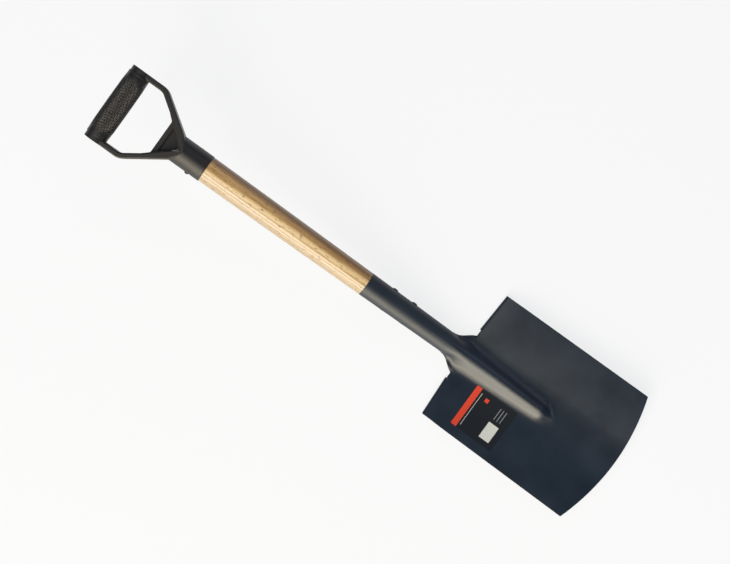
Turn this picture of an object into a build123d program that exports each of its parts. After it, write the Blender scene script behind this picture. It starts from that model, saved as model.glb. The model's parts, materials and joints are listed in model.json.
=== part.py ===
from build123d import *
import os
from math import acos, atan, atan2, ceil, cos, degrees, pi, radians, sin, tan

# A short square point shovel: stamped steel blade with a rolled socket, tapered wooden shaft, moulded grip.
# Pieces are modelled along the shaft: Y = 0 at the socket rim, +Y towards the grip, +Z out of the pan's face.
# At the end the shovel is laid down face up, on its two treads and the back of its neck, with +Z up.

# Wooden shaft
shaft_length = 280.0  # bare wood between socket and collar
shaft_grip_diameter = 40.0
shaft_socket_diameter = 36.5
shaft_swell = 0.2  # of its turned side at mid length
tenon_diameter = 33.0  # turned down inside the collar
tenon_length = 44.0
nose_gap = 12.0  # between the wood's nose and the end of the closed socket
wood_chamfer = 2.0
fit_gap = 0.1  # between the wood and what it is driven into

# Socket, rolled from the blade's own sheet
sheet = 2.2
rim_step = 0.1  # socket rim stands proud of the wood
socket_length = 116.0
socket_end_diameter = 34.2
seam_gap = 3.0  # at the end of the closed socket

# Neck, where the rolled sheet opens out into the pan
neck_length = 60.0
lift_angle = 14.0
neck_half_width = 33.0  # at the heel of the pan
flare_start = 0.4  # share of the neck after which its edges spread out
flare_power = 1.3  # above 1: they set out gently
early_opening = 0.7  # power below 1: the seam opens sooner than the neck is long

# Pan
blade_length = 264.0  # heel to the middle of the mouth
blade_width = 211.0
mouth_bow = 17.5
corner_radius = 2.0
dish_radius = 420.0  # of the sides, which curl up beside the flat middle strip
dish_run = 36.0  # length over which the dish grows from the flat heel

# Ridge pressed up along the middle of the pan
ridge_heel_height = 17.0
ridge_end_height = 11.5
ridge_length = 159.0
ridge_nose = 24.0  # its blunt end
ridge_angle = 45.0  # of its flanks to the pan
ridge_heel_crest_radius = 12.0
ridge_crest_radius = 7.0
ridge_foot_radius = 10.0

# Treads, the shoulders turned back for the foot
tread_start = 43.0  # from the middle of the pan
tread_rise = 2.2  # above the heel, at the inner end
tread_slope_angle = 3.0
tread_flange = 4.5  # flat part below the bend
tread_bend_radius = 3.3

# Rivets through the socket and the pin through the collar
rivet_diameter = 5.0
rivet_head_diameter = 9.0
rivet_head_height = 1.6
upper_rivet_distance = 40.5  # from the socket rim
rivet_spacing = 34.5
pin_diameter = 4.0
pin_head_diameter = 6.5
pin_head_height = 2.0
pin_distance = 20.5  # from the collar rim
hole_gap = 0.1
seat_gap = 0.05  # under the heads

# Hand grip, distances from the collar rim
grip_width = 120.6
bar_diameter = 32.6
bar_distance = 152.0  # to the bar's axis
bar_core_diameter = 21.0
arm_thickness = 8.2
arm_end_diameter = 30.5
arm_depth = 22.0  # at the bar
arm_slant_angle = 35.0
arm_bend_radius = 22.0
arm_edge_chamfer = 1.8
collar_diameter = 41.4
collar_edge_radius = 1.0
bore_clearance = 1.0  # beyond the end of the tenon
crotch_distance = 52.5  # where the arms leave the collar
rib_tip_distance = 36.0  # lower point of the V that the arms form on the collar
rib_meeting_distance = 47.0  # upper point of that V
rib_end_distance = 87.0  # above it the arms keep their slant
rib_proud = 0.6  # of the collar, where the ribs lie on it
web_distance = 77.3  # edge of the hand opening
web_thickness = 8.0
web_rim_thickness = 17.0
web_rim_width = 7.0
web_corner_radius = 6.0
pocket_corner_radius = 3.5

# Label on the left half of the pan
label_width = 67.0
label_length = 70.0
label_thickness = 0.25
label_gap = 0.15  # for its glue
label_from_middle = 24.0
label_from_heel = 43.0
label_corner_radius = 2.0

# Counts of profiles along the sheet and of points across them
profile_step = 4.0
strip_points = 6  # on each of its stretches
side_points = 8
tangent_step = 1e-4  # share of a curve over which its end direction is taken
same_place = 1e-3  # points closer than this are one
upright_share = 0.9  # least share of Z in the direction of an upright edge
across_share = 0.999  # least share of X in the direction of an edge straight across

# Values worked out from the sizes above
rim_radius = shaft_socket_diameter / 2 + rim_step
socket_taper = (rim_radius - socket_end_diameter / 2) / socket_length
heel_distance = socket_length + neck_length
bend_radius = neck_length / radians(lift_angle)
ridge_run = ridge_length - ridge_nose
ridge_fall = (ridge_heel_height - ridge_end_height) / ridge_run
crest_fall = (ridge_fall + socket_taper) / 2 * neck_length
spine_drop = ridge_heel_height + crest_fall - socket_end_diameter / 2
seam_turn = pi - seam_gap / socket_end_diameter
half_blade = blade_width / 2
tread_outer_radius = tread_bend_radius + sheet
tread_depth = tread_outer_radius + tread_flange
fold_start = tread_outer_radius - tread_rise
fold_end = fold_start + (half_blade - tread_start) * tan(radians(tread_slope_angle))
grip_half = grip_width / 2
collar_radius = collar_diameter / 2
crotch_half = collar_radius + rib_proud
arm_slant = tan(radians(arm_slant_angle))
arm_step = arm_thickness / cos(radians(arm_slant_angle))


def ease(share):
    """Smooth step from 0 to 1."""
    share = min(max(share, 0), 1)
    return share * share * (3 - 2 * share)


def blend(start, end, share):
    return start + (end - start) * share


def spine(distance):
    """Plane square to the sheet's middle line, at a distance from the socket rim towards the mouth."""
    bend = radians(lift_angle) * min(max(distance - socket_length, 0), neck_length) / neck_length
    past = max(distance - heel_distance, 0)
    along = min(distance, socket_length) + bend_radius * sin(bend) + past * cos(bend)
    rise = bend_radius * (1 - cos(bend)) + past * sin(bend) - spine_drop
    return Plane((0, -along, rise), x_dir=(1, 0, 0), z_dir=(0, -cos(bend), sin(bend)))


def tube_radius(reach):
    """Outer radius of the socket's cone, at a distance from the heel."""
    return rim_radius - socket_taper * (heel_distance + reach)


def crest_height(reach):
    """Height of the crest above the sheet's middle line, at a distance from the heel towards the mouth."""
    if reach < -neck_length:
        return spine_drop + tube_radius(reach)
    straight = ridge_heel_height - ridge_fall * min(reach, ridge_run)
    if reach < 0:
        return straight - (ridge_fall - socket_taper) * reach**2 / (2 * neck_length)
    fade = min(max((reach - ridge_run) / ridge_nose, 0), 1)
    return straight * (1 + cos(pi * fade)) / 2


def middle_shape(reach):
    """Crest radius, flank turn, flank length and half length of the sheet's middle strip, crest to edge.

    Up the neck the crest turns further and further down, until the sheet closes into the socket.
    """
    share = min(max(1 + reach / neck_length, 0), 1)
    opening = ease(share**early_opening)
    spreading = max((share - flare_start) / (1 - flare_start), 0) ** flare_power
    rounding = ease(2 * share - 1)
    pan_radius = blend(ridge_heel_crest_radius, ridge_crest_radius, min(max(reach / ridge_run, 0), 1))
    radius = blend(tube_radius(reach), pan_radius, rounding)
    radii = radius + ridge_foot_radius
    height = crest_height(reach)
    turn = blend(seam_turn, radians(ridge_angle), opening)
    if reach >= 0:
        turn = min(turn, acos(max(1 - height / radii, -1)))
    flank = rounding * max(height - radii * (1 - cos(turn)), 0) / max(sin(turn), tangent_step)
    flat = neck_half_width - radii * sin(turn) - flank * cos(turn)
    flange = (ridge_foot_radius * turn + flat) * spreading
    return radius, turn, flank, radius * turn + flank + flange


def middle_point(along, reach):
    """Front point and slope of the middle strip, at a length from the crest along the sheet."""
    radius, turn, flank, _ = middle_shape(reach)
    height = crest_height(reach)
    crest_turn = min(along / radius, turn)
    on_flank = min(max(along - radius * turn, 0), flank)
    foot_turn = min(max(along - radius * turn - flank, 0) / ridge_foot_radius, turn)
    on_flat = max(along - (radius + ridge_foot_radius) * turn - flank, 0)
    slope = crest_turn - foot_turn
    x = radius * sin(crest_turn) + on_flank * cos(turn)
    x += ridge_foot_radius * (sin(turn) - sin(turn - foot_turn)) + on_flat
    drop = radius * (1 - cos(crest_turn)) + on_flank * sin(turn)
    drop += ridge_foot_radius * (cos(turn - foot_turn) - cos(turn))
    return x, height - drop, slope


def dish(x, reach):
    """Rise and slope of the pan's sides, flat at the heel where the treads fold."""
    past = max(x - neck_half_width, 0)
    growth = ease((reach - fold_end) / dish_run)
    return growth * past**2 / (2 * dish_radius), atan(growth * past / dish_radius)


def sheet_point(along, reach, level):
    """Point at a level above the sheet's front face, at a length to either side of the crest."""
    x, height, slope = middle_point(abs(along), reach)
    rise, dish_slope = dish(x, reach)
    slope -= dish_slope
    flip = -1 if along < 0 else 1
    return flip * (x + level * sin(slope)), height + rise + level * cos(slope)


def sheet_curve(reach, stretch, level):
    """Spline along a stretch (start, end, number of steps) of the sheet, on the plane square to it."""
    start, end, steps = stretch
    plane = spine(heel_distance + reach)

    def at(share):
        return plane.from_local_coords(sheet_point(blend(start, end, share), reach, level))

    shares = [i / steps for i in range(steps + 1)]
    directions = [(at(tangent_step) - at(0)) / tangent_step, (at(1) - at(1 - tangent_step)) / tangent_step]
    return Edge.make_spline([at(share) for share in shares], directions, parameters=shares, scale=False)


def sheet_profile(reach, stretches, upper, lower):
    """Closed cut edge between two levels of the sheet, on the plane square to it."""
    top = [sheet_curve(reach, stretch, upper) for stretch in stretches]
    bottom = [sheet_curve(reach, stretch, lower) for stretch in stretches]
    left_end = Edge.make_line(top[0] @ 0, bottom[0] @ 0)
    right_end = Edge.make_line(top[-1] @ 1, bottom[-1] @ 1)
    return Wire([*top, right_end, *bottom, left_end])


def evenly(start, end):
    """Evenly spaced distances from the heel, for the profiles of a loft."""
    steps = ceil((end - start) / profile_step)
    return [blend(start, end, i / steps) for i in range(steps + 1)]


def strip_bends(reach):
    """Lengths from the crest to where the ridge's crest, flank, foot and flat end."""
    radius, turn, flank, half_length = middle_shape(reach)
    foot = radius * turn + flank
    return [radius * turn, foot, foot + ridge_foot_radius * turn, half_length]


def strip(reach):
    """Stretches of the sheet's middle strip: the tube of the socket, the neck, the ridge and its feet.

    Along the straight ridge they end at its bends. On the neck and the nose they keep their shares of it.
    """
    bends = strip_bends(min(max(reach, 0), ridge_run))
    scale = middle_shape(reach)[3] / bends[-1]
    ends = [bend * scale for bend in bends]
    right = [(start, end, strip_points) for start, end in zip([0, *ends], ends)]
    return [mirrored(stretch) for stretch in reversed(right)] + right


def side_panel(reach, inner, outer):
    """Stretch of the pan's right half between two distances from its middle line."""
    edge = middle_shape(reach)[3] - neck_half_width
    return (edge + inner, edge + outer, side_points)


def mirrored(stretch):
    start, end, steps = stretch
    return (-end, -start, steps)


def planform():
    """Outline of the pan seen square to its face, heel at Y = 0 and mouth towards -Y."""
    mouth_corner = (half_blade, mouth_bow - blade_length)
    right = [(0, 0), (tread_start, 0), (tread_start, -fold_start), (half_blade, -fold_end), mouth_corner]
    left = [(-x, y) for x, y in reversed(right)]
    mouth = ThreePointArc(right[-1], (0, -blade_length), left[0])
    outline = make_face(Curve() + [Polyline(*right), mouth, Polyline(*left)])
    corners = outline.vertices().sort_by(Axis.Y)[:2]
    return fillet(corners, corner_radius)


def pan_frame():
    """Plane of the pan's flat heel: X across, Y towards the grip, Z out of its face."""
    heel = spine(heel_distance)
    return Plane(heel.origin, x_dir=(1, 0, 0), z_dir=heel.y_dir)


def socket():
    """Tapered tube with an open seam at the back."""
    end_radius = socket_end_diameter / 2
    wall = [(rim_radius - sheet, 0), (rim_radius, 0), (end_radius, -socket_length)]
    wall += [(end_radius - sheet, -socket_length)]
    tube = revolve(make_face(Polyline(*wall, close=True)), Axis.Y, 2 * degrees(seam_turn))
    return Rot(0, 270 - degrees(seam_turn), 0) * tube


def middle(reaches):
    """Length of the sheet's middle strip, lofted through profiles at distances from the heel."""
    return Solid.make_loft([sheet_profile(reach, strip(reach), 0, -sheet) for reach in reaches])


def side(reaches):
    """Length of the pan's right side, beside the middle strip."""
    profiles = []
    for reach in reaches:
        panel = side_panel(reach, neck_half_width, half_blade + sheet)
        profiles.append(sheet_profile(reach, [panel], 0, -sheet))
    return Solid.make_loft(profiles)


def pan():
    """Plate with curled sides and with the ridge pressed up along its middle."""
    end = blade_length + sheet
    dished = fold_end + dish_run
    ridge = middle([0, ridge_run]) + middle(evenly(ridge_run, ridge_length)) + middle([ridge_length, end])
    right = side(evenly(0, dished)) + side([dished, end])
    cutter = extrude(pan_frame() * planform(), amount=blade_length / 2, both=True)
    return (ridge + right + mirror(right, Plane.YZ)) & cutter


def right_tread():
    """Shoulder folded back from the pan: a quarter bend and a flat flange, drawn on the pan's frame."""
    slope = radians(tread_slope_angle)
    bend_centre = (tread_outer_radius, -tread_outer_radius)
    outer_bend = CenterArc(bend_centre, tread_outer_radius, 90, 90)
    inner_bend = CenterArc(bend_centre, tread_bend_radius, 90, 90)
    flange = Polyline(outer_bend @ 1, (0, -tread_depth), (sheet, -tread_depth), inner_bend @ 1)
    section = make_face([outer_bend, flange, inner_bend, Line(inner_bend @ 0, outer_bend @ 0)])
    across_fold = (-sin(slope), -cos(slope), 0)
    along_fold = (cos(slope), -sin(slope), 0)
    plane = Plane((tread_start, tread_rise, 0), x_dir=across_fold, z_dir=[-c for c in along_fold])
    run = extrude(plane * section, amount=blade_width, both=True)
    middle = (tread_start + half_blade) / 2
    reach = 4 * (tread_depth + fold_end)
    return run & Pos(middle, 0, 0) * Box(half_blade - tread_start, reach, reach)


def turned(*profile):
    """Solid of revolution about the shaft's axis, from points (radius, Y)."""
    return revolve(make_face(Polyline(*profile, close=True)), Axis.Y)


def crosswise(solid, y, side):
    """A solid drawn on +Z, laid across the shaft so that it points to one side."""
    return Pos(0, y, 0) * Rot(0, 90 * side, 0) * solid


def fastener(body_radius, y, side, shank_diameter, head_diameter, head_height):
    """Headed pin through a round body, its head to one side and its end closed flush on the other."""
    seat = body_radius + seat_gap
    head_radius = head_diameter / 2
    shank_radius = shank_diameter / 2
    head = [(0, seat + head_height), (head_radius, seat + head_height), (head_radius, seat)]
    shank = [(shank_radius, seat), (shank_radius, -body_radius), (0, -body_radius)]
    outline = make_face(Polyline(*head, *shank, close=True))
    return crosswise(revolve(Plane.XZ * outline, Axis.Z), y, side)


def cross_hole(diameter, y):
    return crosswise(Cylinder(diameter / 2 + hole_gap, 4 * collar_diameter), y, 1)


def rivet_places():
    return [-upper_rivet_distance, -upper_rivet_distance - rivet_spacing]


def make_blade():
    """Blade in one sheet: socket, neck, pan and treads."""
    tread = pan_frame() * right_tread()
    blade = socket().fuse(middle(evenly(-neck_length, 0)), tol=same_place) + pan()
    blade = blade + tread + mirror(tread, Plane.YZ)
    for y in rivet_places():
        blade -= cross_hole(rivet_diameter, y)
    return blade


def make_shaft():
    """Turned stick: nose in the socket, bare taper, tenon in the collar."""
    nose_end = nose_gap - socket_length
    nose_radius = socket_end_diameter / 2 + socket_taper * nose_gap - sheet - fit_gap
    low_radius = shaft_socket_diameter / 2
    high_radius = shaft_grip_diameter / 2
    middle_radius = (low_radius + high_radius) / 2 + shaft_swell
    tenon_end = shaft_length + tenon_length
    tenon_radius = tenon_diameter / 2
    bare = ThreePointArc((low_radius, 0), (middle_radius, shaft_length / 2), (high_radius, shaft_length))
    tenon = [(tenon_radius, shaft_length), (tenon_radius, tenon_end - wood_chamfer)]
    tenon += [(tenon_radius - wood_chamfer, tenon_end), (0, tenon_end)]
    nose = [(0, nose_end), (nose_radius - wood_chamfer, nose_end), (nose_radius, nose_end + wood_chamfer)]
    nose += [(rim_radius - sheet - fit_gap, 0)]
    shaft = revolve(make_face([bare, Polyline(bare @ 1, *tenon, *nose, bare @ 0)]), Axis.Y)
    for y in rivet_places():
        shaft -= cross_hole(rivet_diameter, y)
    return shaft - cross_hole(pin_diameter, shaft_length + pin_distance)


def rib_inside(y):
    """Half width between the inner faces of the ribs, at a distance from the collar rim."""
    end = crotch_half + arm_slant * (rib_end_distance - crotch_distance) - arm_step
    return end * (y - rib_meeting_distance) / (rib_end_distance - rib_meeting_distance)


def front_outline():
    """Arms and the V of their ribs seen from the front, collar rim at Y = 0."""
    bend = crotch_distance + (grip_half - crotch_half) / arm_slant
    inner_half = grip_half - arm_thickness
    inner_bend = crotch_distance + (inner_half + arm_step - crotch_half) / arm_slant
    right = [(crotch_half, crotch_distance), (grip_half, bend)]
    right += [(grip_half, bar_distance), (inner_half, bar_distance), (inner_half, inner_bend)]
    right += [(rib_inside(rib_end_distance), rib_end_distance)]
    left = [(-x, y) for x, y in reversed(right)]
    outline = make_face(Polyline((0, rib_tip_distance), *right, (0, rib_meeting_distance), *left, close=True))
    rounds = {bend: arm_bend_radius, inner_bend: arm_bend_radius - arm_thickness}
    rounds[rib_meeting_distance] = pocket_corner_radius
    for distance, radius in rounds.items():
        corners = [v for v in outline.vertices() if abs(v.Y - distance) < same_place]
        outline = fillet(corners, radius)
    return outline


def side_outline():
    """Tapering depth of the arms seen from the side: X along the shaft from the collar rim, Y the depth."""
    upper = [(rib_tip_distance, crotch_half), (bar_distance, arm_depth / 2)]
    lower = [(x, -y) for x, y in reversed(upper)]
    return make_face(Polyline(*upper, *lower, close=True))


def arm_end():
    """Round end of the right arm, that carries the bar."""
    disc = crosswise(Cylinder(arm_end_diameter / 2, arm_thickness), bar_distance, 1)
    return Pos(grip_half - arm_thickness / 2, 0, 0) * disc


def arm_rims(yoke):
    """Long edges of the arms: neither upright nor straight across."""
    directions = [edge.tangent_at(0.5) for edge in yoke.edges()]
    slanting = [abs(d.Z) < upright_share and abs(d.X) < across_share for d in directions]
    return [edge for edge, kept in zip(yoke.edges(), slanting) if kept]


def rib_space():
    """Space between the ribs where they meet on the collar."""
    half = rib_inside(web_distance)
    corners = [(0, rib_meeting_distance), (half, web_distance), (-half, web_distance)]
    outline = make_face(Polyline(*corners, close=True))
    outline = fillet(outline.vertices().sort_by(Axis.Y)[:1], pocket_corner_radius)
    return extrude(outline, amount=collar_diameter, both=True)


def web_plate(start, end, thickness):
    """Part of the web between two distances from the collar rim, rooted in the ribs."""
    outline = [(rib_inside(start) + arm_thickness / 2, start), (rib_inside(end) + arm_thickness / 2, end)]
    outline += [(-x, y) for x, y in reversed(outline)]
    return extrude(make_face(Polyline(*outline, close=True)), amount=thickness / 2, both=True)


def make_grip():
    """Moulded hand grip: collar, two arms with a recessed web between them, and a cored hand bar."""
    front = extrude(front_outline(), amount=collar_diameter, both=True)
    side = extrude(Plane.YZ * side_outline(), amount=grip_width, both=True)
    yoke = front & side
    yoke = chamfer(arm_rims(yoke), arm_edge_chamfer) + arm_end() + mirror(arm_end(), Plane.YZ)
    collar = turned(
        (0, 0),
        (collar_radius - collar_edge_radius, 0),
        (collar_radius, collar_edge_radius),
        (collar_radius, crotch_distance + rib_proud),
        (0, crotch_distance + rib_proud),
    )
    web = web_plate(rib_meeting_distance, web_distance - web_rim_width / 2, web_thickness)
    web += web_plate(web_distance - web_rim_width, web_distance, web_rim_thickness)
    grip = yoke + (collar - rib_space()) + web
    upright = grip.edges().filter_by(Axis.Z)
    corners = [e for e in upright if abs(e.center().Y - web_distance) < same_place]
    grip = fillet(corners, web_corner_radius)
    bar = crosswise(Cylinder(bar_diameter / 2, grip_width - 2 * arm_thickness), bar_distance, 1)
    core = crosswise(Cylinder(bar_core_diameter / 2, 2 * grip_width), bar_distance, 1)
    bore = Cylinder(tenon_diameter / 2 + fit_gap, 2 * (tenon_length + bore_clearance))
    grip = grip + bar - core - Rot(90, 0, 0) * bore
    return Pos(0, shaft_length, 0) * (grip - cross_hole(pin_diameter, pin_distance))


def make_label():
    """Thin printed sheet that follows the left half of the pan."""
    outer = label_from_middle + label_width
    profiles = []
    for reach in evenly(label_from_heel, label_from_heel + label_length):
        place = mirrored(side_panel(reach, label_from_middle, outer))
        profiles.append(sheet_profile(reach, [place], label_gap + label_thickness, label_gap))
    outline = RectangleRounded(label_width - fit_gap, label_length - fit_gap, label_corner_radius)
    middle = Pos(-label_from_middle - label_width / 2, -label_from_heel - label_length / 2)
    cutter = extrude(pan_frame() * middle * outline, amount=blade_length / 2, both=True)
    return Solid.make_loft(profiles) & cutter


def resting_tilt():
    """Turn about X that lays the shovel on the inner corners of its treads and the back of its neck."""
    corner = pan_frame().from_local_coords((tread_start, tread_rise, -tread_depth))
    angles = []
    for reach in evenly(-heel_distance, 0):
        plane = spine(heel_distance + reach)
        for level in (0, -sheet):
            place = plane.from_local_coords(sheet_point(middle_shape(reach)[3], reach, level))
            angles.append(atan2(corner.Z - place.Z, place.Y - corner.Y))
    return degrees(max(angles))


def make_rivet(y):
    body_radius = rim_radius + socket_taper * (y + rivet_head_diameter / 2)
    return fastener(body_radius, y, 1, rivet_diameter, rivet_head_diameter, rivet_head_height)


def make_pin():
    y = shaft_length + pin_distance
    return fastener(collar_radius, y, -1, pin_diameter, pin_head_diameter, pin_head_height)


upper_rivet, lower_rivet = [make_rivet(y) for y in rivet_places()]
pieces = {
    "blade": make_blade(),
    "shaft": make_shaft(),
    "d_grip": make_grip(),
    "socket_rivet_upper": upper_rivet,
    "socket_rivet_lower": lower_rivet,
    "grip_pin": make_pin(),
    "blade_label": make_label(),
}
laid = {name: Rot(resting_tilt(), 0, 0) * piece for name, piece in pieces.items()}
boxes = [piece.bounding_box() for piece in laid.values()]
left, near, floor = [min(values) for values in zip(*[box.min for box in boxes])]
right, far, _ = [max(values) for values in zip(*[box.max for box in boxes])]
place = Pos(-(left + right) / 2, -(near + far) / 2, -floor)
os.makedirs("parts", exist_ok=True)
for name, piece in laid.items():
    export_step(place * piece, f"parts/{name}.step")
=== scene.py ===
import json
from math import cos, pi, radians, sin, sqrt, tau

import bmesh
import bpy
from mathutils import Matrix, Vector


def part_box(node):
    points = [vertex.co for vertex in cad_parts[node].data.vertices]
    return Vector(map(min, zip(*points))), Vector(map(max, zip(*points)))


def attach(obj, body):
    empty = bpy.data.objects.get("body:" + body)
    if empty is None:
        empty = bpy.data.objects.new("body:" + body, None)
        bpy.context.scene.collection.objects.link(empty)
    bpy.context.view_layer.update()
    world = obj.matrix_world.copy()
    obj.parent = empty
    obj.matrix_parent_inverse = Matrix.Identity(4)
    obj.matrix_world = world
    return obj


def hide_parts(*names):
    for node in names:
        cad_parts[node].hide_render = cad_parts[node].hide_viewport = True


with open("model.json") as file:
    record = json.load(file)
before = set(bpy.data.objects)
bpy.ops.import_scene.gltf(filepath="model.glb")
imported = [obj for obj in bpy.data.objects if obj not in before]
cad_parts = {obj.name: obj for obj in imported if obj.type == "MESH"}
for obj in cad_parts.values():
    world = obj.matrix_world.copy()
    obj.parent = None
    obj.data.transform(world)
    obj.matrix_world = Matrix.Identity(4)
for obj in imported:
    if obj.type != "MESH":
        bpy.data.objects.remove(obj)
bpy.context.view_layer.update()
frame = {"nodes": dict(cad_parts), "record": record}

MM = 0.001

# The shaft's line: it runs from the socket's rim up to the hand bar, at the tilt at which the shovel lies
hand_bar = next(mount for mount in frame["record"]["mounts"] if mount["name"] == "hand_bar")
BAR_AXIS = Vector(hand_bar["pos_m"])
BAR_RADIUS = hand_bar["dims"]["r_mm"] * MM
SHAFT_TILT = radians(12.416)
RIM_TO_BAR = 432 * MM
ALONG = Vector((0, cos(SHAFT_TILT), sin(SHAFT_TILT)))
OUTWARD = Vector((0, -sin(SHAFT_TILT), cos(SHAFT_TILT)))
SOCKET_RIM = BAR_AXIS - RIM_TO_BAR * ALONG

# Camera: where it stands as seen from the socket's rim, and its lens
PICTURE_WIDTH = 730
CAMERA_AZIMUTH = radians(-75.155)
CAMERA_ELEVATION = radians(83.122)
CAMERA_ROLL = radians(-68.860)
CAMERA_DISTANCE = 1.7825
CAMERA_SIDESTEP = Vector((-1.18 * MM, 2.36 * MM))
FOCAL_PIXELS = 1234.5
SENSOR_WIDTH = 36.0

# Light, in metres: a window in two parts and a skylight on the left, a dim wall on the right, a dim room
WINDOW_DISTANCE = 3.6
SILL_HEIGHT = 1.6
WINDOW_HEIGHT = 4.4
SKYLIGHT_DISTANCE = 1.4
SKYLIGHT_HEIGHT = 4.7
WALL_DISTANCE = 4.0
WALL_FOOT = 2.8
WALL_HEIGHT = 6.0
WINDOW_NEAR = -2.6
WINDOW_FAR = 0.6
SKYLIGHT_NEAR = -0.7
SKYLIGHT_FAR = 2.7
WALL_NEAR = -2.9
WALL_FAR = 2.7
LOW_RADIANCE = 5.5
WINDOW_RADIANCE = 8.6
SKYLIGHT_RADIANCE = 4.8
WALL_RADIANCE = 1.05
ROOM_LIGHT = 0.27
DAYLIGHT = "#fff3da"
WALL_COLOUR = "#dedbd8"
ROOM_COLOUR = "#aac4f0"

# Floor in metres, and the share of plain white in it where it is seen
FLOOR_HALF = 40.0
FLOOR_GLOW = 0.82

# Shape of the painted sheet, for its shading: Y runs from the mouth to the grip, X across
HEEL_Y = -173 * MM
NECK_END_Y = HEEL_Y + 12 * MM  # where the neck's own bends end
PAN_START_Y = HEEL_Y - 8 * MM  # where the ridge has its soft bends and the dish begins
FLANK_START_Y = HEEL_Y - 18 * MM  # where the ridge's flanks are fully eased
NOSE_Y = -337 * MM  # where the soft bends of the ridge begin to fade
NOSE_FADE = 20 * MM
RIDGE_HALF = 25 * MM
RIDGE_SOFTNESS = 11 * MM  # radius added to the ridge's bends
BEND_FADE = 8 * MM  # width in which the soft bends give way to the dish
SHEET_EDGE_RADIUS = 0.5 * MM
FLANK_EASE = 0.24  # share by which the ridge's flanks look flatter, as a deep soft pressing does
DISH_START = 33 * MM
DISH_RADIUS = 420 * MM
DISH_RUN = 36 * MM
DISH_EASE = 0.82  # share of the dish that the shading takes out, as the pan's sides are pressed straighter
SIDE_LEAN = 0.086  # slope of the pan's sides that it puts in
PRESS_WAVE = 0.5 * MM

# Finish of the paint, which is a little rougher on the rolled socket, and of the plastic
PAN_ROUGHNESS = 0.22
SOCKET_ROUGHNESS = 0.42
CLOUD_ROUGHNESS = 0.2  # added where the paint is cloudy
PAN_PAINT_Y = HEEL_Y - 20 * MM
SOCKET_PAINT_Y = HEEL_Y + 40 * MM
GRIP_ROUGHNESS = 0.46
KNURL_ROUGHNESS = 0.34  # hands keep the knurl a little glossier
MOULD_EDGE_RADIUS = 0.7 * MM

# Patterns of the materials
PRESS_WAVE_SIZE = 110 * MM
PAINT_CLOUD_SIZE = 60 * MM
FILM_RIPPLE_SIZE = 14 * MM
WAVE_TEXTURE_RING = 0.314  # ring width of a wave texture at a scale of 1
RING_WIDTH = 3.4 * MM
RING_CENTRE = (34 * MM, 0, 12 * MM)  # shifts the rings, as the tree's pith lies outside the stick
RING_SLOPE = 0.02  # change along the stick, as a share of the change across, as for fibres and pores
FIBRE_SLOPE = 0.03
PORE_SLOPE = 0.16
# Painted light and shade on the stick: paler towards -X, where the lamps fall, as a painted sheen, and
# browner towards +X, as painted shade; STREAK_WIDTH makes the border between them streaky
PAINTED_LIGHT_X = -16 * MM
PAINTED_SHADE_X = 24 * MM
STREAK_WIDTH = 8 * MM

# Patterns that are too fine to show in the render, so these are drawn as coarse as they need to show
ORANGE_PEEL_SIZE = 1.6 * MM
FIBRE_SIZE = 1.5 * MM
PORE_SIZE = 1.3 * MM
MOULD_GRAIN_SIZE = 0.9 * MM
FILM_GRAIN_SIZE = 2.0 * MM
PAPER_FIBRE_SIZE = 3 * MM

# Print of the label: a band and a rule at the heel, a small square, a blank panel and three plain lines
ORANGE_INK = "#e0482c"
RULE_INK = "#c9ccc8"
PANEL_INK = "#d9dcd6"
LINE_INK = "#8f9498"
PRINT_MARGIN = 8 * MM  # from the label's left and right sides
BAND_DEPTH = 9 * MM
RULE_MARGIN = 6 * MM
RULE_DROP = 12.2 * MM  # from the heel side
RULE_DEPTH = 0.8 * MM
SQUARE_DROP = 21 * MM  # from the heel side
SQUARE_SIZE = 6 * MM
PANEL_RISE = 9 * MM  # from the mouth side
PANEL_WIDTH = 26 * MM
PANEL_DEPTH = 17 * MM
LINE_START = 40 * MM  # from the label's left side
LINE_RISES = (12 * MM, 17 * MM, 22 * MM)  # from the mouth side
LINE_DEPTH = 1 * MM

# Knurled hand area of the bar
KNURL_LENGTH = 97 * MM
KNURL_FADE = 15 * MM  # at both ends
KNURL_PITCH = 2.9 * MM
KNURL_DEPTH = 0.5 * MM
KNURL_LAND = 0.3  # flat top of each point, as a share of its width
KNURL_RISE = 0.03 * MM  # of the grooves above the bar, at the ends of the hand area
KNURL_ROOT = 1.0 * MM  # of the sleeve's hidden inner side below the grooves
BAR_SWELL = 0.4 * MM  # further rise of the grooves at mid length

# Rivets and pin
HEAD_RINGS = 8
ROUND_STEPS = 48
HEAD_SINK = 0.3 * MM  # of a head's lower edge into the paint
SOCKET_SHANK = 2.5 * MM
PIN_SHANK = 2.0 * MM
END_CROWN = 0.15 * MM

# Points of a piece that lie closer than this are one point
WELD_DISTANCE = 0.001 * MM


def linear(hex_colour):
    """Linear RGBA of an sRGB hex colour."""
    channels = [int(hex_colour[i:i + 2], 16) / 255 for i in (1, 3, 5)]
    return (*[c / 12.92 if c <= 0.04045 else ((c + 0.055) / 1.055) ** 2.4 for c in channels], 1.0)


def add(material, kind, links=None, values=None, stops=(), **settings):
    """Adds a node: links and values on its inputs, stops (position, colour) on its ramp, and its settings."""
    tree = material.node_tree
    node = tree.nodes.new(kind)
    for name, value in settings.items():
        setattr(node, name, value)
    for socket, value in (values or {}).items():
        node.inputs[socket].default_value = value
    for socket, source in (links or {}).items():
        tree.links.new(source, node.inputs[socket])
    for index, (position, colour) in enumerate(stops):
        if index == len(node.color_ramp.elements):
            node.color_ramp.elements.new(1.0)
        node.color_ramp.elements[index].position = position
        node.color_ramp.elements[index].color = linear(colour)
    return node


def new_material(name):
    """Material with an empty node tree, the place on the object and the input for its surface."""
    material = bpy.data.materials.new(name)
    material.use_nodes = True
    material.node_tree.nodes.clear()
    place = add(material, "ShaderNodeTexCoord").outputs["Object"]
    return material, place, add(material, "ShaderNodeOutputMaterial").inputs["Surface"]


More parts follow.
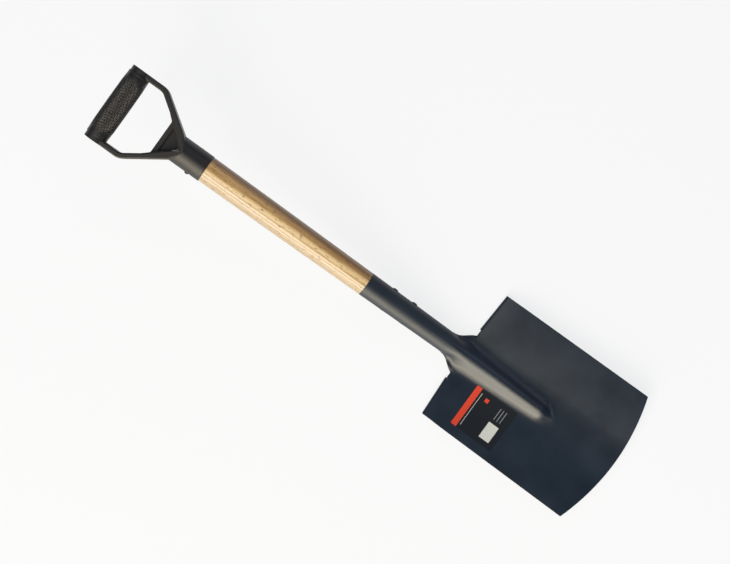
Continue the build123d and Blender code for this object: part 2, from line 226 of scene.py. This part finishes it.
def ridge_normal(material, axes, side):
    """Normal of the stamped sheet: bends are soft at the ridge, which was drawn up, and tight elsewhere."""
    drawn = add(
        material,
        "ShaderNodeMapRange",
        {"Value": side.outputs[0]},
        {"From Min": DISH_START, "From Max": DISH_START + BEND_FADE, "To Min": 1.0, "To Max": 0.0},
    )
    pan = add(
        material,
        "ShaderNodeMapRange",
        {"Value": axes.outputs["Y"]},
        {"From Min": NECK_END_Y, "From Max": PAN_START_Y, "To Max": RIDGE_SOFTNESS},
    )
    ridge = add(
        material,
        "ShaderNodeMapRange",
        {"Value": axes.outputs["Y"]},
        {"From Min": NOSE_Y - NOSE_FADE, "From Max": NOSE_Y},
    )
    soft = add(
        material,
        "ShaderNodeMath",
        {0: drawn.outputs["Result"], 1: pan.outputs["Result"]},
        operation="MULTIPLY",
    )
    radius = add(
        material,
        "ShaderNodeMath",
        {0: soft.outputs[0], 1: ridge.outputs["Result"]},
        {2: SHEET_EDGE_RADIUS},
        operation="MULTIPLY_ADD",
    )
    edge = add(material, "ShaderNodeBevel", {"Radius": radius.outputs[0]}, samples=8)
    # Flanks turn a little towards the sky, from the heel on
    eased = add(
        material,
        "ShaderNodeMapRange",
        {"Value": axes.outputs["Y"]},
        {"From Min": NECK_END_Y, "From Max": FLANK_START_Y, "To Max": FLANK_EASE},
        interpolation_type="SMOOTHSTEP",
    )
    flank = add(
        material,
        "ShaderNodeMix",
        {"Factor": eased.outputs["Result"], "A": edge.outputs["Normal"]},
        {"B": (0, 0, 1)},
        data_type="VECTOR",
    )
    normal = add(material, "ShaderNodeVectorMath", {0: flank.outputs["Result"]}, operation="NORMALIZE")
    return normal.outputs[0]


def sheet_relief(material, place, axes, side):
    """Height for the sheet's shading: evenly leaning sides in place of most of the dish, and slow waves."""
    lean = add(material, "ShaderNodeMath", {0: side.outputs[0]}, {1: RIDGE_HALF}, operation="SUBTRACT")
    lean = add(
        material,
        "ShaderNodeMath",
        {0: lean.outputs[0]},
        {1: 0.0, 2: RIDGE_HALF},
        operation="SMOOTH_MAX",
    )
    past = add(material, "ShaderNodeMath", {0: side.outputs[0]}, {1: DISH_START}, operation="SUBTRACT")
    past = add(material, "ShaderNodeMath", {0: past.outputs[0]}, {1: 0.0}, operation="MAXIMUM")
    dish = add(material, "ShaderNodeMath", {0: past.outputs[0], 1: past.outputs[0]}, operation="MULTIPLY")
    grown = add(
        material,
        "ShaderNodeMapRange",
        {"Value": axes.outputs["Y"]},
        {
            "From Min": PAN_START_Y,
            "From Max": PAN_START_Y - DISH_RUN,
            "To Max": -0.5 * DISH_EASE / DISH_RADIUS,
        },
        interpolation_type="SMOOTHSTEP",
    )
    dish = add(
        material,
        "ShaderNodeMath",
        {0: dish.outputs[0], 1: grown.outputs["Result"]},
        operation="MULTIPLY",
    )
    sides = add(
        material,
        "ShaderNodeMath",
        {0: lean.outputs[0], 2: dish.outputs[0]},
        {1: SIDE_LEAN},
        operation="MULTIPLY_ADD",
    )
    wave = add(
        material,
        "ShaderNodeTexNoise",
        {"Vector": place},
        {"Scale": 1 / PRESS_WAVE_SIZE, "Detail": 1.0},
    )
    height = add(
        material,
        "ShaderNodeMath",
        {0: wave.outputs["Fac"], 2: sides.outputs[0]},
        {1: PRESS_WAVE},
        operation="MULTIPLY_ADD",
    )
    return height.outputs[0]


def black_powder_coat():
    """Satin black powder coat baked on stamped steel: a fine orange peel breaks up a soft, wide gloss."""
    material, place, surface = new_material("black_powder_coat")
    axes = add(material, "ShaderNodeSeparateXYZ", {"Vector": place})
    side = add(material, "ShaderNodeMath", {0: axes.outputs["X"]}, operation="ABSOLUTE")
    pressed = add(
        material,
        "ShaderNodeBump",
        {"Height": sheet_relief(material, place, axes, side), "Normal": ridge_normal(material, axes, side)},
        {"Strength": 1.0, "Distance": 1.0},
    )
    peel = add(
        material,
        "ShaderNodeTexNoise",
        {"Vector": place},
        {"Scale": 1 / ORANGE_PEEL_SIZE, "Detail": 3.0},
    )
    bump = add(
        material,
        "ShaderNodeBump",
        {"Height": peel.outputs["Fac"], "Normal": pressed.outputs["Normal"]},
        {"Strength": 0.25, "Distance": 0.05 * MM},
    )
    cloud = add(
        material,
        "ShaderNodeTexNoise",
        {"Vector": place},
        {"Scale": 1 / PAINT_CLOUD_SIZE, "Detail": 4.0},
    )
    tint = add(
        material,
        "ShaderNodeValToRGB",
        {"Fac": cloud.outputs["Fac"]},
        stops=[(0.3, "#0a1724"), (0.7, "#102030")],
    )
    rolled = add(
        material,
        "ShaderNodeMapRange",
        {"Value": axes.outputs["Y"]},
        {
            "From Min": PAN_PAINT_Y,
            "From Max": SOCKET_PAINT_Y,
            "To Min": PAN_ROUGHNESS,
            "To Max": SOCKET_ROUGHNESS,
        },
        interpolation_type="SMOOTHSTEP",
    )
    gloss = add(
        material,
        "ShaderNodeMath",
        {0: cloud.outputs["Fac"], 2: rolled.outputs["Result"]},
        {1: CLOUD_ROUGHNESS},
        operation="MULTIPLY_ADD",
    )
    paint = add(
        material,
        "ShaderNodeBsdfPrincipled",
        {
            "Base Color": tint.outputs["Color"],
            "Roughness": gloss.outputs[0],
            "Normal": bump.outputs["Normal"],
        },
        {"IOR": 1.6},
    )
    material.node_tree.links.new(paint.outputs["BSDF"], surface)
    return material


def ash_grain(material, straight, fibre):
    """Light and dark lines of the wood, from its growth rings and its fibres."""
    pith = add(
        material,
        "ShaderNodeMapping",
        {"Vector": straight},
        {"Location": RING_CENTRE, "Scale": (1.0, RING_SLOPE, 1.0)},
    )
    rings = add(
        material,
        "ShaderNodeTexWave",
        {"Vector": pith.outputs["Vector"]},
        {"Scale": WAVE_TEXTURE_RING / RING_WIDTH, "Distortion": 2.2, "Detail": 3.0, "Detail Scale": 1.4},
        wave_type="RINGS",
        rings_direction="Y",
    )
    figure = add(
        material,
        "ShaderNodeMix",
        {"A": rings.outputs["Fac"], "B": fibre},
        {"Factor": 0.65},
        data_type="FLOAT",
    )
    grain = add(
        material,
        "ShaderNodeValToRGB",
        {"Fac": figure.outputs["Result"]},
        stops=[(0.3, "#cab89b"), (0.46, "#eee7dd"), (0.62, "#ffffff")],
    )
    return grain.outputs["Color"]


def ash_painted_light_and_shade(material, straight, fibre):
    """Painted light and shade across the stick: golden ash in the middle, paler cream towards -X as a painted
    sheen where the lamps fall, and browner towards +X as painted shade, with streaky borders.
    """
    axes = add(material, "ShaderNodeSeparateXYZ", {"Vector": straight})
    streak = add(
        material,
        "ShaderNodeMath",
        {0: fibre, 2: axes.outputs["X"]},
        {1: STREAK_WIDTH},
        operation="MULTIPLY_ADD",
    )
    across = add(
        material,
        "ShaderNodeMapRange",
        {"Value": streak.outputs[0]},
        {"From Min": PAINTED_LIGHT_X, "From Max": PAINTED_SHADE_X},
    )
    # Ramp of painted light and shade: a pale painted sheen on the lit -X side, the ash's own golden tone in
    # the middle, and brown painted shade on the +X side
    painted_light_and_shade = add(
        material,
        "ShaderNodeValToRGB",
        {"Fac": across.outputs["Result"]},
        stops=[
            (0.1, "#b4a58d"),
            (0.3, "#c1b098"),
            (0.5, "#e4ca9a"),
            (0.72, "#eabf7b"),
            (0.84, "#c3925c"),
            (1.0, "#9a7147"),
        ],
    )
    return painted_light_and_shade.outputs["Color"]


def ash_pores(material, straight):
    """Places of the short pores, which lie along the grain."""
    dashes = add(material, "ShaderNodeMapping", {"Vector": straight}, {"Scale": (1.0, PORE_SLOPE, 1.0)})
    pores = add(
        material,
        "ShaderNodeTexNoise",
        {"Vector": dashes.outputs["Vector"]},
        {"Scale": 1 / PORE_SIZE, "Detail": 1.0},
    )
    pore = add(
        material,
        "ShaderNodeValToRGB",
        {"Fac": pores.outputs["Fac"]},
        stops=[(0.62, "#000000"), (0.7, "#ffffff")],
    )
    return pore.outputs["Color"]


def varnished_ash():
    """Ash stick, turned, sanded and varnished: straight pale grain, rings and short pores under a gloss."""
    material, place, surface = new_material("varnished_ash")
    level = add(material, "ShaderNodeMapping", {"Vector": place}, {"Rotation": (-SHAFT_TILT, 0, 0)})
    straight = level.outputs["Vector"]
    drawn_out = add(material, "ShaderNodeMapping", {"Vector": straight}, {"Scale": (1.0, FIBRE_SLOPE, 1.0)})
    fibres = add(
        material,
        "ShaderNodeTexNoise",
        {"Vector": drawn_out.outputs["Vector"]},
        {"Scale": 1 / FIBRE_SIZE, "Detail": 5.0, "Roughness": 0.65},
    )
    fibre = fibres.outputs["Fac"]
    # The tone is the grain times the painted light and shade across the stick
    tone = add(
        material,
        "ShaderNodeMix",
        {"A": ash_painted_light_and_shade(material, straight, fibre), "B": ash_grain(material, straight, fibre)},
        {"Factor": 1.0},
        data_type="RGBA",
        blend_type="MULTIPLY",
    )
    colour = add(
        material,
        "ShaderNodeMix",
        {"Factor": ash_pores(material, straight), "A": tone.outputs["Result"]},
        {"B": linear("#7d5f3c")},
        data_type="RGBA",
    )
    relief = add(material, "ShaderNodeBump", {"Height": fibre}, {"Strength": 0.2, "Distance": 0.05 * MM})
    wood = add(
        material,
        "ShaderNodeBsdfPrincipled",
        {"Base Color": colour.outputs["Result"], "Normal": relief.outputs["Normal"]},
        {"Roughness": 0.55, "IOR": 1.48, "Coat Weight": 0.7, "Coat Roughness": 0.32, "Coat IOR": 1.52},
    )
    material.node_tree.links.new(wood.outputs["BSDF"], surface)
    return material


def moulded_polypropylene(name, roughness):
    """Black polypropylene, moulded in a spark-eroded tool: an even fine grain that scatters the light."""
    material, place, surface = new_material(name)
    edge = add(material, "ShaderNodeBevel", None, {"Radius": MOULD_EDGE_RADIUS}, samples=4)
    grain = add(
        material,
        "ShaderNodeTexNoise",
        {"Vector": place},
        {"Scale": 1 / MOULD_GRAIN_SIZE, "Detail": 2.0},
    )
    bump = add(
        material,
        "ShaderNodeBump",
        {"Height": grain.outputs["Fac"], "Normal": edge.outputs["Normal"]},
        {"Strength": 0.3, "Distance": 0.05 * MM},
    )
    tint = add(
        material,
        "ShaderNodeValToRGB",
        {"Fac": grain.outputs["Fac"]},
        stops=[(0.3, "#161312"), (0.7, "#1d1a19")],
    )
    plastic = add(
        material,
        "ShaderNodeBsdfPrincipled",
        {"Base Color": tint.outputs["Color"], "Normal": bump.outputs["Normal"]},
        {"Roughness": roughness, "IOR": 1.54},
    )
    material.node_tree.links.new(plastic.outputs["BSDF"], surface)
    return material


def printed(material, place, colour, ink, left, right, near, far):
    """Lays ink over a colour, inside a rectangle between two X and two Y places on the object."""
    axes = add(material, "ShaderNodeSeparateXYZ", {"Vector": place})
    across = add(
        material,
        "ShaderNodeMath",
        {0: axes.outputs["X"]},
        {1: (left + right) / 2, 2: (right - left) / 2},
        operation="COMPARE",
    )
    down = add(
        material,
        "ShaderNodeMath",
        {0: axes.outputs["Y"]},
        {1: (near + far) / 2, 2: (far - near) / 2},
        operation="COMPARE",
    )
    area = add(material, "ShaderNodeMath", {0: across.outputs[0], 1: down.outputs[0]}, operation="MULTIPLY")
    laid = add(
        material,
        "ShaderNodeMix",
        {"Factor": area.outputs[0], "A": colour},
        {"B": linear(ink)},
        data_type="RGBA",
    )
    return laid.outputs["Result"]


def printed_film():
    """Self-adhesive vinyl, screen printed: flat inks on a smooth film with a soft gloss."""
    material, place, surface = new_material("printed_film")
    low, high = [Vector(corner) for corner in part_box("blade_label")]
    left, right = low.x + PRINT_MARGIN, high.x - PRINT_MARGIN
    rule_far, square_far = high.y - RULE_DROP, high.y - SQUARE_DROP
    panel_near = low.y + PANEL_RISE
    areas = [
        (ORANGE_INK, low.x, high.x, high.y - BAND_DEPTH, high.y),
        (RULE_INK, low.x + RULE_MARGIN, high.x - RULE_MARGIN, rule_far - RULE_DEPTH, rule_far),
        (PANEL_INK, left, left + PANEL_WIDTH, panel_near, panel_near + PANEL_DEPTH),
        (ORANGE_INK, right - SQUARE_SIZE, right, square_far - SQUARE_SIZE, square_far),
    ]
    for rise in LINE_RISES:
        areas.append((LINE_INK, low.x + LINE_START, right, low.y + rise, low.y + rise + LINE_DEPTH))
    grain = add(
        material,
        "ShaderNodeTexNoise",
        {"Vector": place},
        {"Scale": 1 / FILM_GRAIN_SIZE, "Detail": 2.0},
    )
    tint = add(
        material,
        "ShaderNodeValToRGB",
        {"Fac": grain.outputs["Fac"]},
        stops=[(0.3, "#13161a"), (0.7, "#171a1f")],
    )
    colour = tint.outputs["Color"]
    for area in areas:
        colour = printed(material, place, colour, *area)
    # It follows the lean of the pan's side
    axes = add(material, "ShaderNodeSeparateXYZ", {"Vector": place})
    lean = add(material, "ShaderNodeMath", {0: axes.outputs["X"]}, {1: -SIDE_LEAN}, operation="MULTIPLY")
    leaning = add(
        material,
        "ShaderNodeBump",
        {"Height": lean.outputs[0]},
        {"Strength": 1.0, "Distance": 1.0},
    )
    ripple = add(
        material,
        "ShaderNodeTexNoise",
        {"Vector": place},
        {"Scale": 1 / FILM_RIPPLE_SIZE, "Detail": 2.0},
    )
    bump = add(
        material,
        "ShaderNodeBump",
        {"Height": ripple.outputs["Fac"], "Normal": leaning.outputs["Normal"]},
        {"Strength": 0.2, "Distance": 0.3 * MM},
    )
    film = add(
        material,
        "ShaderNodeBsdfPrincipled",
        {"Base Color": colour, "Normal": bump.outputs["Normal"]},
        {"Roughness": 0.36, "IOR": 1.5},
    )
    material.node_tree.links.new(film.outputs["BSDF"], surface)
    return material


def white_paper():
    """White seamless paper, the stage: shown nearly white, with the object's soft shadow left on it."""
    material, place, surface = new_material("white_paper")
    fibre = add(
        material,
        "ShaderNodeTexNoise",
        {"Vector": place},
        {"Scale": 1 / PAPER_FIBRE_SIZE, "Detail": 2.0},
    )
    tint = add(
        material,
        "ShaderNodeValToRGB",
        {"Fac": fibre.outputs["Fac"]},
        stops=[(0.3, "#d6dbe3"), (0.7, "#dbe0e8")],
    )
    paper = add(material, "ShaderNodeBsdfDiffuse", {"Color": tint.outputs["Color"]})
    glow = add(material, "ShaderNodeEmission", None, {"Strength": 1.0})
    path = add(material, "ShaderNodeLightPath")
    seen = path.outputs["Is Camera Ray"]
    for ray in ("Is Glossy Ray", "Is Transmission Ray"):
        either = add(material, "ShaderNodeMath", {0: seen, 1: path.outputs[ray]}, operation="MAXIMUM")
        seen = either.outputs[0]
    share = add(material, "ShaderNodeMath", {0: seen}, {1: FLOOR_GLOW}, operation="MULTIPLY")
    mix = add(
        material,
        "ShaderNodeMixShader",
        {0: share.outputs[0], 1: paper.outputs["BSDF"], 2: glow.outputs["Emission"]},
    )
    material.node_tree.links.new(mix.outputs["Shader"], surface)
    return material


def new_piece(name, points, faces, material):
    """Mesh piece that belongs to the shovel, with its faces turned outwards."""
    mesh = bpy.data.meshes.new(name)
    mesh.from_pydata(points, [], faces)
    shaping = bmesh.new()
    shaping.from_mesh(mesh)
    bmesh.ops.remove_doubles(shaping, verts=shaping.verts, dist=WELD_DISTANCE)
    bmesh.ops.recalc_face_normals(shaping, faces=shaping.faces)
    shaping.to_mesh(mesh)
    shaping.free()
    mesh.materials.append(material)
    piece = bpy.data.objects.new(name, mesh)
    bpy.context.scene.collection.objects.link(piece)
    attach(piece, "root")
    return piece


def bar_groove(x):
    """Radius of the knurl's grooves at a place along the bar, which swells a little to fill the palm."""
    share = 2 * x / KNURL_LENGTH
    return BAR_RADIUS + KNURL_RISE + BAR_SWELL * (1 - share * share)


def knurled_sleeve(material):
    """Hand area of the bar: rows of small blunt pyramids between two sets of crossing grooves."""
    columns = 2 * round(tau * BAR_RADIUS / KNURL_PITCH)
    rows = 2 * round(KNURL_LENGTH / KNURL_PITCH)

    def place(row, column, rise=0.0):
        x = KNURL_LENGTH * (row / rows - 0.5)
        turn = tau * column / columns
        fade = min((KNURL_LENGTH / 2 - abs(x)) / KNURL_FADE, 1) if rise > 0 else 1
        radius = bar_groove(x) + rise * fade
        return BAR_AXIS + Vector((x, 0, 0)) + radius * (cos(turn) * ALONG + sin(turn) * OUTWARD)

    points, faces = [], []
    crossing = {}
    for row in range(rows + 1):
        for column in range(row % 2, columns, 2):
            crossing[row, column] = len(points)
            points.append(place(row, column))
    for row in range(rows + 1):
        for column in range((row + 1) % 2, columns, 2):
            steps = [(-1, 0), (0, 1), (1, 0), (0, -1)]
            steps = [step for step in steps if 0 <= row + step[0] <= rows]
            corners = [crossing[row + i, (column + j) % columns] for i, j in steps]
            if len(steps) < 4:
                faces.append(corners)
                continue
            top = len(points)
            points += [place(row + i * KNURL_LAND, column + j * KNURL_LAND, KNURL_DEPTH) for i, j in steps]
            faces.append([top, top + 1, top + 2, top + 3])
            faces += [[corners[k - 1], corners[k], top + k, top + (k - 1) % 4] for k in range(4)]
    inner = {}
    for row in (0, rows):
        for column in range(0, columns, 2):
            inner[row, column] = len(points)
            points.append(place(row, column, -KNURL_ROOT))
    for column in range(0, columns, 2):
        after = (column + 2) % columns
        for row in (0, rows):
            faces.append([crossing[row, column], crossing[row, after], inner[row, after], inner[row, column]])
        faces.append([inner[0, column], inner[0, after], inner[rows, after], inner[rows, column]])
    new_piece("bar_knurl", points, faces, material)


def painted_rivet(name, node, side, shank, material):
    """Button head, shank and flush far end of a rivet, seated on the round body that it goes through."""
    low, high = [Vector(corner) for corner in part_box(node)]
    middle = (low + high) / 2
    head_end, far_end = (high.x, -low.x) if side > 0 else (-low.x, high.x)
    head_radius = (high.y - low.y) / 2
    head_height = head_end - far_end
    bends = [pi / 2 * i / HEAD_RINGS for i in range(HEAD_RINGS + 1)]
    rings = [(side, head_radius * sin(bend), head_height * cos(bend)) for bend in bends]
    rings += [(side, head_radius, -HEAD_SINK), (side, shank, -HEAD_SINK)]
    rings += [(-side, shank * sin(bend), END_CROWN * cos(bend)) for bend in reversed(bends)]
    points, faces = [], []
    for way, radius, height in rings:
        for step in range(ROUND_STEPS):
            turn = tau * step / ROUND_STEPS
            across = radius * sin(turn)
            x = way * (sqrt(far_end**2 - across**2) + height)
            points.append(Vector((x, middle.y, middle.z)) + radius * cos(turn) * ALONG + across * OUTWARD)
    for ring in range(len(rings) - 1):
        for step in range(ROUND_STEPS):
            after = (step + 1) % ROUND_STEPS
            first, second = ring * ROUND_STEPS, (ring + 1) * ROUND_STEPS
            faces.append([first + step, first + after, second + after, second + step])
    piece = new_piece(name, points, faces, material)
    piece.data.shade_smooth()
    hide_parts(node)


def dress(name, material):
    """Gives a CAD node its material."""
    node = frame["nodes"][name]
    node.data.materials.clear()
    node.data.materials.append(material)


def lay_floor(material):
    """Wide plain floor under the shovel."""
    mesh = bpy.data.meshes.new("floor")
    half = FLOOR_HALF
    corners = [(-half, -half, 0), (half, -half, 0), (half, half, 0), (-half, half, 0)]
    mesh.from_pydata(corners, [], [(0, 1, 2, 3)])
    floor = bpy.data.objects.new("floor", mesh)
    bpy.context.scene.collection.objects.link(floor)
    floor.data.materials.append(material)


def set_camera():
    """Camera looking at the socket's rim, stepped aside by millimetres to frame it as in the photograph."""
    back = Vector((
        cos(CAMERA_ELEVATION) * cos(CAMERA_AZIMUTH),
        cos(CAMERA_ELEVATION) * sin(CAMERA_AZIMUTH),
        sin(CAMERA_ELEVATION),
    ))
    level = Vector((0, 0, 1)).cross(back).normalized()
    upright = back.cross(level)
    right = cos(CAMERA_ROLL) * level + sin(CAMERA_ROLL) * upright
    up = back.cross(right)
    place = SOCKET_RIM + back * CAMERA_DISTANCE + right * CAMERA_SIDESTEP.x + up * CAMERA_SIDESTEP.y
    lens = bpy.data.cameras.new("camera")
    lens.sensor_width = SENSOR_WIDTH
    lens.lens = FOCAL_PIXELS * SENSOR_WIDTH / PICTURE_WIDTH
    camera = bpy.data.objects.new("camera", lens)
    camera.matrix_world = Matrix.Translation(place) @ Matrix((right, up, back)).transposed().to_4x4()
    bpy.context.scene.collection.objects.link(camera)
    bpy.context.scene.camera = camera


def hang_lamp(name, lower, upper, near, far, radiance, colour):
    """Soft box between two places (X, Z) and two Y, shining towards the shovel."""
    lower, upper = [Vector((x, (near + far) / 2, z)) for x, z in (lower, upper)]
    rise = (upper - lower).normalized()
    run = Vector((0, 1 if lower.x > 0 else -1, 0))
    lamp = bpy.data.lights.new(name, "AREA")
    lamp.shape = "RECTANGLE"
    lamp.size = far - near
    lamp.size_y = (upper - lower).length
    lamp.energy = radiance * pi * lamp.size * lamp.size_y
    lamp.color = linear(colour)[:3]
    holder = bpy.data.objects.new(name, lamp)
    turn = Matrix((run, rise, run.cross(rise))).transposed().to_4x4()
    holder.matrix_world = Matrix.Translation((lower + upper) / 2) @ turn
    bpy.context.scene.collection.objects.link(holder)


def set_lights():
    """The soft boxes on both sides, and the dim room round them."""
    floor, sill, top = [(-WINDOW_DISTANCE, height) for height in (0, SILL_HEIGHT, WINDOW_HEIGHT)]
    above = (-SKYLIGHT_DISTANCE, SKYLIGHT_HEIGHT)
    hang_lamp("low_window", floor, sill, WINDOW_NEAR, WINDOW_FAR, LOW_RADIANCE, DAYLIGHT)
    hang_lamp("window", sill, top, WINDOW_NEAR, WINDOW_FAR, WINDOW_RADIANCE, DAYLIGHT)
    hang_lamp("skylight", top, above, SKYLIGHT_NEAR, SKYLIGHT_FAR, SKYLIGHT_RADIANCE, DAYLIGHT)
    wall = [(WALL_DISTANCE, height) for height in (WALL_FOOT, WALL_HEIGHT)]
    hang_lamp("wall", *wall, WALL_NEAR, WALL_FAR, WALL_RADIANCE, WALL_COLOUR)
    world = bpy.data.worlds.new("room")
    world.use_nodes = True
    world.node_tree.nodes["Background"].inputs["Color"].default_value = linear(ROOM_COLOUR)
    world.node_tree.nodes["Background"].inputs["Strength"].default_value = ROOM_LIGHT
    bpy.context.scene.world = world


bpy.context.scene.view_settings.view_transform = "Standard"
coat = black_powder_coat()
dress("blade", coat)
dress("shaft", varnished_ash())
dress("d_grip", moulded_polypropylene("moulded_polypropylene", GRIP_ROUGHNESS))
dress("blade_label", printed_film())
knurled_sleeve(moulded_polypropylene("rubbed_polypropylene", KNURL_ROUGHNESS))
painted_rivet("upper_rivet", "socket_rivet_upper", 1, SOCKET_SHANK, coat)
painted_rivet("lower_rivet", "socket_rivet_lower", 1, SOCKET_SHANK, coat)
painted_rivet("collar_pin", "grip_pin", -1, PIN_SHANK, coat)
lay_floor(white_paper())
set_camera()
set_lights()
